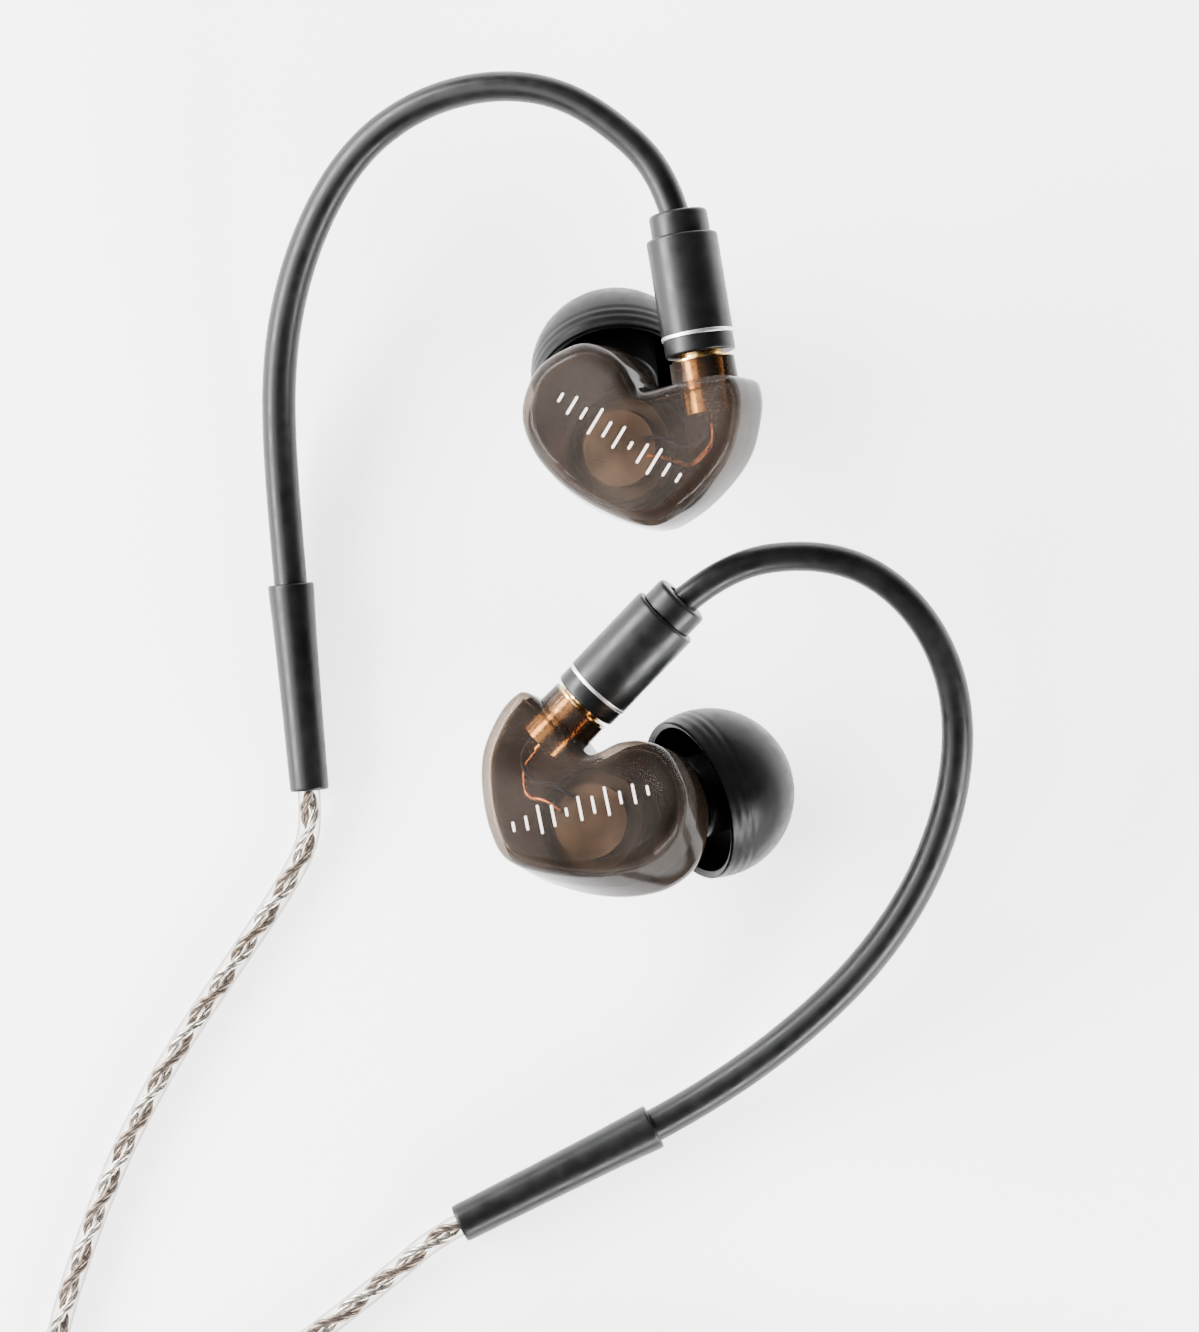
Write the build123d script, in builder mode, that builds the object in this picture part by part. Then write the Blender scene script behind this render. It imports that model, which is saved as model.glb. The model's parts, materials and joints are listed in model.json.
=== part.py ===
"""In ear monitors: a left and a right earpiece on a detachable cable with ear hooks.

Lengths are in millimetres. The pair lies on the plane Z = 0, resting on the ear tips, the hook sleeves
and the cable. An earpiece is made once, for the right ear, in its own frame: the shell's parting plane is
XY, +Z points out of the ear, and +Y runs along the socket towards the cable. The left one is its mirror.
"""

import os
from math import cos, pi, radians, sin, sqrt, tan

from build123d import *

os.makedirs("parts", exist_ok=True)

# Driver, which sets the size of the shell around it
driver_d = 8.0
driver_gap = 0.15
driver_centre = (-0.15, -1.15)
frame_height = 2.2
frame_rim = 0.4
yoke_d = 6.0
yoke_height = 2.6
yoke_wall = 0.5
yoke_proud = 1.4
magnet_height = 1.4
pole_height = 0.5
pole_proud = 0.1
coil_gap = 0.25
coil_wall = 0.3
coil_height = 1.3
diaphragm_thickness = 0.15
diaphragm_travel = 0.15
diaphragm_set_back = 0.25
diaphragm_dome = 0.35

# Shell
wall = 0.7
cover_height = 3.3
back_depth = 4.5
edge_radius = 1.8
lobe_spread = [(-1.45, 1.45), (4.95, 1.05), (2.45, -1.85)]
flank_room = 1.15
notch_heading = 61.0
notch_tuck = 0.2
notch_radius = 0.6
shoulder_radius = 2.4
corner_radius = 1.95
seat_height = 0.7
seat_width = 0.7

# Nozzle, along an axis that leans from the back of the shell towards the ear canal
nozzle_start = Vector(-1.0, 0.0, -3.0)
nozzle_lean = 49.0
nozzle_heading = 105.0
nozzle_d = 4.8
nozzle_bore = 3.8
nozzle_lip_d = 5.3
nozzle_lip = 0.6
nozzle_reach = 13.0
nozzle_in_boss = 2.0
boss_reach = 5.6
boss_root_d = 8.4
boss_tip_d = 6.2
mesh_thickness = 0.3

# Ear tip
tip_d = 13.5
tip_centre = 8.05
tip_depth = 1.85
tip_wall = 0.55
tip_stem_wall = 0.55
tip_stem_start = 6.4
fit_clearance = 0.05

# Socket in the shell and plug on the cable, both on one axis
socket_x = 7.45
socket_z = -0.4
collar_d = 5.3
collar_end = 4.35
socket_d = 4.1
socket_wall = 0.3
socket_back = 0.2
socket_floor = 0.4
socket_flange_d = 4.6
socket_flange = 0.15
insulator_height = 0.8
contact_d = 0.9
contact_bore = 0.5
contact_front = 2.6
contact_rear = 0.6
plug_clearance = 0.1
plug_start = 1.9
plug_gap = 0.35
shield_wall = 0.55
shield_rear = 3.0
groove_start = 0.35
groove_width = 0.5
groove_depth = 0.2
ring_clearance = 0.02
ring_opening = 40.0
pin_clearance = 0.05

# Plug housing
barrel_d = 5.6
barrel_length = 7.7
barrel_wall = 0.7
barrel_edge = 0.3
band_d = 5.66
band_width = 0.25
lower_collar_d = 5.5
lower_collar_length = 1.4
lower_collar_edge = 0.25
cap_d = 4.6
cap_length = 1.95
cap_edge = 0.5

# Hook-up wires
wire_d = 0.35

# Ear hook and its sleeve
hook_d = 2.7
hook_inside = 2.0
sleeve_upper_d = 3.7
sleeve_lower_d = 3.1
sleeve_overlap = 3.0
sleeve_edge = 0.3

# Cable
branch_d = 1.8
main_d = 2.4
turn_pitch = 1.03
branch_coil_d = 18.15
branch_coil_columns, branch_coil_rows = 4, 2
branch_coil_centre = Vector(-34, -80, 0)
main_coil_d = 27.6
main_coil_columns, main_coil_rows = 5, 2
main_coil_centre = Vector(40, -82, 0)
cord_inside_sleeve = 3.0

# Chin slider and splitter
slider_d = 5.2
slider_length = 7.0
slider_start = -23.5
slider_clearance = 0.1
slider_edge = 0.5
splitter_start = -2.0
splitter_length = 15.0
splitter_neck_d = 3.6
splitter_edge = 0.6
cord_inside_splitter = 4.0

# Plug for the headphone output
jack_d = 7.0
jack_length = 17.0
jack_edge = 0.8
jack_relief_d = 4.2
jack_relief_tip_d = 3.2
jack_relief_length = 8.0
jack_x = 16.0
jack_y = -61.9
contact_shaft_d = 3.5
jack_contact_length = 14.0
jack_tip_length = 3.6
jack_ring_length = 2.2
jack_insulator_length = 0.6
jack_neck_d = 2.2
cord_inside_relief = 4.0

# Where each earpiece lies: turn about the vertical, then pitch of the socket axis, then roll about it
right_place = (
    Location((0.14, 17.12, 15.9)) * Location((0, 0, 0), (0, 0, 9.3)) * Location((0, 0, 0), (-4.9, -20.5, 0))
)
left_place = (
    Location((-1.35, -12.24, 12.73)) * Location((0, 0, 0), (0, 0, -43.7)) * Location((0, 0, 0), (8.0, -20.5, 0))
)

# Routes, from the plug housing or the sleeve outwards. The first points come from the piece they leave.
hook_lead = {"right": 2.6, "left": 3.2}
sleeve_lead = 4.5
branch_lead = 2.0
main_lead = 3.0
hook_routes = {
    "right": [
        (0.2, 40.9, 15.7), (-5.4, 44.6, 14.3), (-13.3, 44.5, 12.0), (-20.2, 40.7, 9.6),
        (-24.3, 34.2, 7.2), (-26.6, 27.0, 5.1), (-27.3, 19.2, 3.3),
    ],
    "left": [
        (13.5, 8.2, 12.6), (20.2, 6.9, 12.1), (25.4, 1.4, 11.0), (27.3, -6.3, 9.3),
        (25.5, -15.4, 7.1), (21.2, -23.1, 5.0), (14.8, -29.9, 3.2),
    ],
}
sleeve_ends = {
    "right": [(-26.15, 5.6), (-24.65, -10.9)],
    "left": [(2.85, -37.65), (-12.7, -45.5)],
}
branch_routes = {
    "right": [
        (-25.1, -16.0), (-27.9, -20.6), (-31.6, -26.0), (-35.6, -32.0), (-39.2, -38.6),
        (-42.2, -45.8), (-44.8, -53.8), (-46.5, -62.4), (-46.9, -71.2), (-45.86, -80.0),
    ],
    "left": [
        (-17.4, -49.0), (-22.4, -53.0), (-28.6, -57.6), (-35.6, -61.6), (-41.0, -66.9),
        (-43.6, -73.4), (-44.0, -80.0),
    ],
}
main_route = [(21.5, -92.4, 1.6), (26.6, -96.6, 1.2), (32.6, -100.2, 1.2), (40.0, -101.0, 1.2)]
main_tail_route = [(44.9, -63.65, 3.6), (39.6, -62.4, 3.6), (33.6, -61.75, 3.6), (27.6, -61.9, 3.5)]


# Sizes that follow from the ones above
driver_pocket_r = driver_d / 2 + driver_gap + wall
lobe_r = driver_pocket_r + flank_room
notch_x = driver_centre[0] + (driver_pocket_r - notch_tuck) * cos(radians(notch_heading))
shelf_y = driver_centre[1] + (driver_pocket_r - notch_tuck) * sin(radians(notch_heading))
socket_r = socket_d / 2
socket_bore_r = socket_r - socket_wall
shield_r = socket_bore_r - plug_clearance
shield_bore_r = shield_r - shield_wall
flange_end = collar_end + socket_flange
housing_start = flange_end + plug_gap
band_start = housing_start + lower_collar_length
barrel_start = band_start + band_width
barrel_end = barrel_start + barrel_length
cap_end = barrel_end + cap_length
driver_z = -back_depth + wall + seat_height
driver_top = driver_z + frame_height
yoke_top = driver_top + yoke_proud
yoke_r = yoke_d / 2
yoke_floor = yoke_top - yoke_wall
magnet_r = yoke_r - yoke_wall - 2 * coil_gap - coil_wall
pole_bottom = yoke_floor - magnet_height - pole_height
coil_bore_r = magnet_r + coil_gap
diaphragm_r = driver_d / 2 - frame_rim - fit_clearance
diaphragm_z = driver_z + diaphragm_set_back
branch_pitch = branch_d * turn_pitch
lead_y = -(branch_coil_d + branch_pitch) / 2
lead_z = slider_d / 2

driver_plane = Plane(origin=(*driver_centre, 0))
socket_plane = Plane(origin=(socket_x, 0, socket_z), x_dir=(1, 0, 0), z_dir=(0, 1, 0))
nozzle_dir = Vector(
    sin(radians(nozzle_lean)) * cos(radians(nozzle_heading)),
    sin(radians(nozzle_lean)) * sin(radians(nozzle_heading)),
    -cos(radians(nozzle_lean)),
)
nozzle_plane = Plane(origin=nozzle_start, z_dir=nozzle_dir)
places = {"right": right_place, "left": left_place}
mirror_sign = {"right": 1, "left": -1}


def publish(name, part):
    """Writes one piece as a named node."""
    part.label = name
    export_step(part, f"parts/{name}.step")


def publish_pair(name, part):
    """Writes a piece of the earpiece for both ears, the left one mirrored, where each lies."""
    for side, place in places.items():
        made = part if side == "right" else mirror(part, about=Plane.YZ)
        publish(f"{side}_{name}", made.moved(place))


def ring(plane, outer_r, inner_r, start, length):
    """A plain ring or, with no inner radius, a disc, square to a plane."""
    with BuildPart() as piece:
        with BuildSketch(plane.offset(start)):
            Circle(outer_r)
            if inner_r:
                Circle(inner_r, mode=Mode.SUBTRACT)
        extrude(amount=length)
    return piece.part


def turned(plane, profile):
    """A turned piece: a closed outline of (radius, height) points spun about the plane's own Z."""
    with BuildPart() as piece:
        with BuildSketch(Plane(origin=plane.origin, x_dir=plane.x_dir, z_dir=-plane.y_dir)):
            with BuildLine():
                Polyline(*profile, close=True)
            make_face()
        revolve(axis=Axis(plane.origin, plane.z_dir))
    return piece.part


def corner_radii(points):
    """The radius of each corner of a route, as large as its shorter run allows."""
    radii = []
    for before, corner, after in zip(points, points[1:], points[2:]):
        run_in, run_out = corner - before, after - corner
        half_turn = radians(run_in.get_angle(run_out) / 2)
        radii.append(0.45 * min(run_in.length, run_out.length) / tan(half_turn))
    return radii


def tube(name, points, diameter):
    """A round tube along straight runs joined by tangent arcs. Prints its tightest arcs."""
    radii = corner_radii(points)
    with BuildPart() as piece:
        with BuildLine() as path:
            if radii:
                FilletPolyline(*points, radius=radii)
            else:
                Line(*points)
        with BuildSketch(Plane(origin=path.line @ 0, z_dir=path.line % 0)):
            Circle(diameter / 2)
        sweep()
    length = path.wire().length
    share = piece.part.volume / (pi * diameter**2 / 4 * length)
    print(f"{name}: {length:.1f} long, volume {share:.4f} of section times length, radii",
          [round(r, 1) for r in radii])
    return piece.part


# ---------------------------------------------------------------- shell


def shell_form(inset):
    """The closed form of the shell, or of its hollow when inset is the wall."""
    with BuildPart() as form:
        with BuildSketch(Plane.XY.offset(inset - back_depth)) as outline:
            with Locations(*lobe_spread):
                Circle(lobe_r - inset)
            make_hull(mode=Mode.REPLACE)
            with Locations((notch_x - inset, shelf_y - inset)):
                Rectangle(4 * lobe_r, 2 * lobe_r, align=(Align.MIN, Align.MIN), mode=Mode.SUBTRACT)
            inner_corner = outline.vertices().sort_by_distance((notch_x - inset, shelf_y - inset))[0]
            lobe_corner, shelf_corner = (
                outline.vertices().filter_by(lambda v: v != inner_corner).group_by(Axis.Y)[-1][0],
                outline.vertices().sort_by(lambda v: v.X - abs(v.Y - shelf_y + inset) * 9)[-1],
            )
            fillet(inner_corner, notch_radius + inset)
            fillet(lobe_corner, shoulder_radius - inset)
            fillet(shelf_corner, corner_radius - inset)
        extrude(amount=cover_height + back_depth - 2 * inset)
        ends = form.faces().filter_by(Axis.Z)
        fillet(ends.edges(), edge_radius - inset)
    return form.part


outer_form = shell_form(0)
hollow_form = shell_form(wall)

with BuildPart() as whole_shell:
    add(outer_form)
    with BuildSketch(socket_plane.offset(shelf_y - 2 * wall)):
        Circle(collar_d / 2)
    extrude(amount=collar_end - shelf_y + 2 * wall)
    with BuildSketch(nozzle_plane):
        Circle(boss_root_d / 2)
    with BuildSketch(nozzle_plane.offset(boss_reach)):
        Circle(boss_tip_d / 2)
    loft()
    add(hollow_form, mode=Mode.SUBTRACT)
    with BuildSketch(socket_plane):
        Circle(socket_r)
    extrude(amount=collar_end, mode=Mode.SUBTRACT)

with BuildPart() as outer_cover:
    add(whole_shell.part)
    split(bisect_by=Plane.XY, keep=Keep.TOP)

with BuildPart() as inner_shell:
    add(whole_shell.part)
    split(bisect_by=Plane.XY, keep=Keep.BOTTOM)
    with BuildSketch(driver_plane.offset(driver_z)):
        Circle(driver_d / 2)
        Circle(driver_d / 2 - seat_width, mode=Mode.SUBTRACT)
    extrude(amount=-seat_height)
    with BuildSketch(nozzle_plane.offset(0.4)):
        Circle(nozzle_bore / 2)
    extrude(amount=boss_reach, mode=Mode.SUBTRACT)
    with BuildSketch(nozzle_plane.offset(boss_reach - nozzle_in_boss)):
        Circle(nozzle_d / 2)
    extrude(amount=nozzle_in_boss, mode=Mode.SUBTRACT)

publish_pair("outer_cover", outer_cover.part)
publish_pair("inner_shell", inner_shell.part)

# ---------------------------------------------------------------- nozzle and ear tip

nozzle_tube = turned(
    nozzle_plane,
    [
        (nozzle_bore / 2, boss_reach - nozzle_in_boss),
        (nozzle_d / 2, boss_reach - nozzle_in_boss),
        (nozzle_d / 2, nozzle_reach - 2 * nozzle_lip),
        (nozzle_lip_d / 2, nozzle_reach - nozzle_lip),
        (nozzle_lip_d / 2, nozzle_reach - nozzle_lip / 2),
        (nozzle_d / 2, nozzle_reach),
        (nozzle_bore / 2, nozzle_reach),
    ],
)
publish_pair("nozzle_tube", nozzle_tube)
publish_pair("nozzle_mesh", ring(nozzle_plane, nozzle_bore / 2, 0, nozzle_reach - 2 * nozzle_lip, mesh_thickness))

tip_r = tip_d / 2
tip_bore_r = nozzle_lip_d / 2 + fit_clearance
tip_stem_r = tip_bore_r + tip_stem_wall
tip_rim = tip_centre - tip_depth
tip_inner_r = tip_r - tip_wall


def on_sphere(radius, at_r):
    """Height on the tip's dome of that radius, at a distance from its axis."""
    return tip_centre + sqrt(radius**2 - at_r**2)


with BuildPart() as ear_tip:
    with BuildSketch(Plane(origin=nozzle_plane.origin, x_dir=nozzle_plane.x_dir, z_dir=-nozzle_plane.y_dir)):
        with BuildLine():
            rim_outer = (sqrt(tip_r**2 - tip_depth**2), tip_rim)
            rim_inner = (sqrt(tip_inner_r**2 - tip_depth**2), tip_rim)
            nose = (tip_bore_r, on_sphere(tip_r, tip_bore_r))
            root = (tip_stem_r, on_sphere(tip_inner_r, tip_stem_r))
            ThreePointArc(nose, (tip_r * cos(pi / 4), tip_centre + tip_r * sin(pi / 4)), rim_outer)
            Line(rim_outer, rim_inner)
            ThreePointArc(rim_inner, (tip_inner_r * cos(pi / 6), tip_centre + tip_inner_r * sin(pi / 6)), root)
            Line(root, (tip_stem_r, tip_stem_start))
            Line((tip_stem_r, tip_stem_start), (tip_bore_r, tip_stem_start))
            Line((tip_bore_r, tip_stem_start), nose)
        make_face()
    revolve(axis=Axis(nozzle_plane.origin, nozzle_plane.z_dir))
publish_pair("ear_tip", ear_tip.part)

# ---------------------------------------------------------------- driver

driver_frame = turned(
    driver_plane,
    [
        (driver_d / 2 - frame_rim, driver_z),
        (driver_d / 2, driver_z),
        (driver_d / 2, driver_top),
        (yoke_r, driver_top),
        (yoke_r, diaphragm_z + diaphragm_thickness + diaphragm_travel + 0.1),
        (driver_d / 2 - frame_rim, diaphragm_z + diaphragm_thickness + diaphragm_travel + 0.1),
    ],
)
publish_pair("driver_frame", driver_frame)

with BuildPart() as driver_yoke:
    with BuildSketch(driver_plane.offset(yoke_top)):
        Circle(yoke_r)
    extrude(amount=-yoke_height)
    with BuildSketch(driver_plane.offset(yoke_floor)):
        Circle(yoke_r - yoke_wall)
    extrude(amount=-yoke_height, mode=Mode.SUBTRACT)
publish_pair("driver_yoke", driver_yoke.part)

publish_pair("driver_magnet", ring(driver_plane, magnet_r - pole_proud, 0, yoke_floor - magnet_height, magnet_height))
publish_pair("driver_pole", ring(driver_plane, magnet_r, 0, pole_bottom, pole_height))
publish_pair(
    "voice_coil",
    ring(driver_plane, coil_bore_r + coil_wall, coil_bore_r, diaphragm_z + diaphragm_thickness, coil_height),
)

diaphragm = turned(
    driver_plane,
    [
        (0, diaphragm_z - diaphragm_dome),
        (coil_bore_r * 0.6, diaphragm_z - diaphragm_dome * 0.7),
        (coil_bore_r, diaphragm_z),
        (diaphragm_r, diaphragm_z),
        (diaphragm_r, diaphragm_z + diaphragm_thickness),
        (coil_bore_r - 0.1, diaphragm_z + diaphragm_thickness),
        (coil_bore_r * 0.6, diaphragm_z + diaphragm_thickness - diaphragm_dome * 0.7),
        (0, diaphragm_z + diaphragm_thickness - diaphragm_dome),
    ],
)
publish_pair("diaphragm", diaphragm)

# ---------------------------------------------------------------- socket in the shell

socket_shell = turned(
    socket_plane,
    [
        (contact_d / 2 + 0.3, socket_back),
        (socket_r, socket_back),
        (socket_r, collar_end),
        (socket_flange_d / 2, collar_end),
        (socket_flange_d / 2, flange_end),
        (socket_bore_r, flange_end),
        (socket_bore_r, socket_back + socket_floor),
        (contact_d / 2 + 0.3, socket_back + socket_floor),
    ],
)
publish_pair("socket_shell", socket_shell)

insulator_start = socket_back + socket_floor
publish_pair("socket_insulator", ring(socket_plane, socket_bore_r, contact_d / 2, insulator_start, insulator_height))
publish_pair(
    "socket_contact",
    turned(
        socket_plane,
        [
            (0, -contact_rear),
            (contact_d / 2, -contact_rear),
            (contact_d / 2, contact_front),
            (contact_bore / 2, contact_front),
            (contact_bore / 2, plug_start - 0.3),
            (0, plug_start - 0.3),
        ],
    ),
)

wire_r = wire_d / 2
yoke_edge = Vector(*driver_centre) + Vector(yoke_r - 2 * wire_d, 0)
wire_routes = [
    [
        Vector(yoke_edge.X, yoke_edge.Y - 1.1, yoke_top + wire_r),
        Vector(yoke_edge.X + 1.5, yoke_edge.Y - 1.3, yoke_top + 0.3),
        Vector(yoke_edge.X + 3.0, yoke_edge.Y - 2.6, yoke_top - 0.4),
        Vector(socket_x - 0.6, -2.6, socket_z + 0.3),
        Vector(socket_x, -contact_rear - 1.2, socket_z),
        Vector(socket_x, -contact_rear, socket_z),
    ],
    [
        Vector(yoke_edge.X, yoke_edge.Y + 0.3, yoke_top + wire_r),
        Vector(yoke_edge.X + 1.6, yoke_edge.Y + 0.2, yoke_top + 0.4),
        Vector(yoke_edge.X + 3.2, yoke_edge.Y - 1.2, yoke_top + 0.3),
        Vector(socket_x - 0.4, socket_back - 2.2, socket_z + 1.8),
        Vector(socket_x + 0.4, socket_back - 1.0, socket_z + socket_r - 2 * wire_r),
        Vector(socket_x + 0.4, socket_back, socket_z + socket_r - 2 * wire_r),
    ],
]
wires = [tube("hook-up wire", route, wire_d) for route in wire_routes]
with BuildPart() as hookup_wires:
    add(wires)
publish_pair("hookup_wires", hookup_wires.part)

# ---------------------------------------------------------------- plug on the cable

with BuildPart() as snap_ring:
    groove_r = shield_r - groove_depth
    with BuildSketch(socket_plane.offset(plug_start + groove_start + ring_clearance)):
        Circle(socket_bore_r - 1.5 * ring_clearance)
        Circle(groove_r + ring_clearance, mode=Mode.SUBTRACT)
        with Locations((socket_bore_r, 0)):
            Rectangle(2 * socket_bore_r, 2 * groove_r * sin(radians(ring_opening / 2)), mode=Mode.SUBTRACT)
    extrude(amount=groove_width - 2 * ring_clearance)
publish_pair("snap_ring", snap_ring.part)

shield_end = housing_start + shield_rear
plug_shield = turned(
    socket_plane,
    [
        (shield_bore_r, plug_start),
        (shield_r, plug_start),
        (shield_r, plug_start + groove_start),
        (groove_r, plug_start + groove_start),
        (groove_r, plug_start + groove_start + groove_width),
        (shield_r, plug_start + groove_start + groove_width),
        (shield_r, shield_end),
        (shield_bore_r, shield_end),
    ],
)
publish_pair("plug_shield", plug_shield)

pin_r = contact_bore / 2 - pin_clearance
publish_pair(
    "plug_pin",
    turned(
        socket_plane,
        [
            (0, plug_start),
            (pin_r, plug_start),
            (pin_r, contact_front + 4 * pin_clearance),
            (shield_bore_r, contact_front + 4 * pin_clearance),
            (shield_bore_r, shield_end),
            (0, shield_end),
        ],
    ),
)

collar_blank = ring(socket_plane, lower_collar_d / 2, shield_r, housing_start, lower_collar_length)
with BuildPart() as plug_collar:
    add(collar_blank)
    rims = plug_collar.edges().filter_by(GeomType.CIRCLE).filter_by(lambda e: e.radius > shield_r)
    chamfer(rims.sort_by(Axis.Y)[0], lower_collar_edge)
publish_pair("plug_collar", plug_collar.part)

publish_pair("plug_band", ring(socket_plane, band_d / 2, shield_r, band_start, band_width))

barrel_blank = ring(socket_plane, barrel_d / 2, shield_r, barrel_start, barrel_length)
with BuildPart() as plug_barrel:
    add(barrel_blank)
    with BuildSketch(socket_plane.offset(shield_end)):
        Circle(barrel_d / 2 - barrel_wall)
    extrude(amount=barrel_length, mode=Mode.SUBTRACT)
    rims = plug_barrel.edges().filter_by(GeomType.CIRCLE).filter_by(lambda e: e.radius > barrel_d / 2 - 0.01)
    fillet(rims.sort_by(Axis.Y)[-1], barrel_edge)
publish_pair("plug_barrel", plug_barrel.part)

cap_blank = ring(socket_plane, cap_d / 2, hook_d / 2, barrel_end, cap_length)
with BuildPart() as plug_cap:
    add(cap_blank)
    rims = plug_cap.edges().filter_by(GeomType.CIRCLE).filter_by(lambda e: e.radius > cap_d / 2 - 0.01)
    fillet(rims.sort_by(Axis.Y)[-1], cap_edge)
publish_pair("plug_cap", plug_cap.part)

# ---------------------------------------------------------------- ear hooks and sleeves

for side, place in places.items():
    exit_plane = Plane(place * Location((mirror_sign[side] * socket_x, cap_end, socket_z)))
    along = (place * Location((0, 1, 0))).position - place.position
    inside = exit_plane.origin - along * (cap_length + hook_inside)
    upper, lower = (
        Vector(*point, diameter / 2)
        for point, diameter in zip(sleeve_ends[side], (sleeve_upper_d, sleeve_lower_d))
    )
    sleeve_dir = (lower - upper).normalized()
    hook_end = upper + sleeve_dir * sleeve_overlap
    hook_points = [inside, exit_plane.origin + along * hook_lead[side]]
    hook_points += [Vector(*point) for point in hook_routes[side]]
    hook_points += [upper - sleeve_dir * sleeve_lead, hook_end]
    publish(f"{side}_ear_hook", tube(f"{side} ear hook", hook_points, hook_d))

    sleeve_plane = Plane(origin=upper, z_dir=sleeve_dir)
    sleeve_length = (lower - upper).length
    with BuildPart() as sleeve:
        with BuildSketch(sleeve_plane):
            Circle(sleeve_upper_d / 2)
        with BuildSketch(sleeve_plane.offset(sleeve_length)):
            Circle(sleeve_lower_d / 2)
        loft()
        with BuildSketch(sleeve_plane):
            Circle(hook_d / 2)
        extrude(amount=sleeve_overlap, mode=Mode.SUBTRACT)
        with BuildSketch(sleeve_plane.offset(sleeve_length - cord_inside_sleeve)):
            Circle(branch_d / 2)
        extrude(amount=cord_inside_sleeve, mode=Mode.SUBTRACT)
    publish(f"{side}_hook_sleeve", sleeve.part)

    start = lower - sleeve_dir * cord_inside_sleeve
    points = [start, lower + sleeve_dir * branch_lead]
    points += [Vector(x, y, branch_d / 2) for x, y in branch_routes[side]]
    strand_y = lead_y + branch_coil_centre.Y - (branch_pitch if side == "right" else 0)
    lead = [
        Vector(branch_coil_centre.X, strand_y, lead_z),
        Vector(splitter_start + cord_inside_splitter, strand_y, lead_z),
    ]
    stretches = [
        tube(f"{side} branch", points, branch_d),
        tube(f"{side} branch after its coil", lead, branch_d),
    ]
    with BuildPart() as branch:
        add(stretches)
    publish(f"{side}_branch", branch.part)


def coil(name, centre, mid_d, columns, rows, cord_d):
    """The outer shape of a wound coil that lies flat."""
    width, height = columns * cord_d * turn_pitch, rows * cord_d * turn_pitch
    with BuildPart() as piece:
        with BuildSketch(Plane.XZ) as section:
            with Locations((mid_d / 2, height / 2)):
                RectangleRounded(width, height, cord_d * 0.45)
        revolve(axis=Axis.Z)
    publish(name, piece.part.moved(Location(centre)))


coil("branch_coil", branch_coil_centre, branch_coil_d, branch_coil_columns, branch_coil_rows, branch_d)
coil("main_coil", main_coil_centre, main_coil_d, main_coil_columns, main_coil_rows, main_d)

# ---------------------------------------------------------------- slider, splitter and main cord

pair_y = branch_coil_centre.Y + lead_y - branch_pitch / 2
strand_ys = (-branch_pitch / 2, branch_pitch / 2)
slider_plane = Plane(origin=(slider_start, pair_y, lead_z), x_dir=(0, 1, 0), z_dir=(1, 0, 0))
with BuildPart() as chin_slider:
    with BuildSketch(slider_plane):
        Circle(slider_d / 2)
    extrude(amount=slider_length)
    chamfer(chin_slider.edges().filter_by(GeomType.CIRCLE), slider_edge)
    with BuildSketch(slider_plane):
        with Locations(*((y, 0) for y in strand_ys)):
            Circle(branch_d / 2 + slider_clearance)
    extrude(amount=slider_length, mode=Mode.SUBTRACT)
publish("chin_slider", chin_slider.part)

splitter_plane = Plane(origin=(splitter_start, pair_y, lead_z), x_dir=(0, 1, 0), z_dir=(1, 0, 0))
with BuildPart() as y_splitter:
    with BuildSketch(splitter_plane):
        Circle(slider_d / 2)
    extrude(amount=splitter_length / 2)
    with BuildSketch(splitter_plane.offset(splitter_length / 2)):
        Circle(slider_d / 2)
    with BuildSketch(splitter_plane.offset(splitter_length)):
        Circle(splitter_neck_d / 2)
    loft()
    chamfer(y_splitter.edges().filter_by(GeomType.CIRCLE).sort_by(Axis.X)[0], splitter_edge)
    with BuildSketch(splitter_plane):
        with Locations(*((y, 0) for y in strand_ys)):
            Circle(branch_d / 2)
    extrude(amount=cord_inside_splitter, mode=Mode.SUBTRACT)
    with BuildSketch(splitter_plane.offset(splitter_length - cord_inside_splitter)):
        Circle(main_d / 2)
    extrude(amount=cord_inside_splitter, mode=Mode.SUBTRACT)
publish("y_splitter", y_splitter.part)

relief_end = jack_x + jack_relief_length
main_start = splitter_plane.offset(splitter_length - cord_inside_splitter).origin
main_exit = splitter_plane.offset(splitter_length + main_lead).origin
tail_end = Vector(relief_end - cord_inside_relief, jack_y, jack_d / 2)
main_stretches = [
    tube("main cord", [main_start, main_exit] + [Vector(*point) for point in main_route], main_d),
    tube("main cord after its coil", [Vector(*point) for point in main_tail_route] + [tail_end], main_d),
]
with BuildPart() as main_cord:
    add(main_stretches)
publish("main_cord", main_cord.part)

# ---------------------------------------------------------------- plug for the headphone output

jack_plane = Plane(origin=(jack_x, jack_y, jack_d / 2), x_dir=(0, 1, 0), z_dir=(-1, 0, 0))
with BuildPart() as jack_relief:
    with BuildSketch(jack_plane):
        Circle(jack_relief_d / 2)
    with BuildSketch(jack_plane.offset(-jack_relief_length)):
        Circle(jack_relief_tip_d / 2)
    loft()
    with BuildSketch(jack_plane.offset(-jack_relief_length)):
        Circle(main_d / 2)
    extrude(amount=cord_inside_relief, mode=Mode.SUBTRACT)
publish("jack_relief", jack_relief.part)

body_blank = ring(jack_plane, jack_d / 2, 0, 0, jack_length)
with BuildPart() as jack_body:
    add(body_blank)
    fillet(jack_body.edges().filter_by(GeomType.CIRCLE), jack_edge)
    with BuildSketch(jack_plane.offset(jack_length)):
        Circle(jack_neck_d / 2)
    extrude(amount=-jack_length / 2, mode=Mode.SUBTRACT)
publish("jack_body", jack_body.part)

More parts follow.
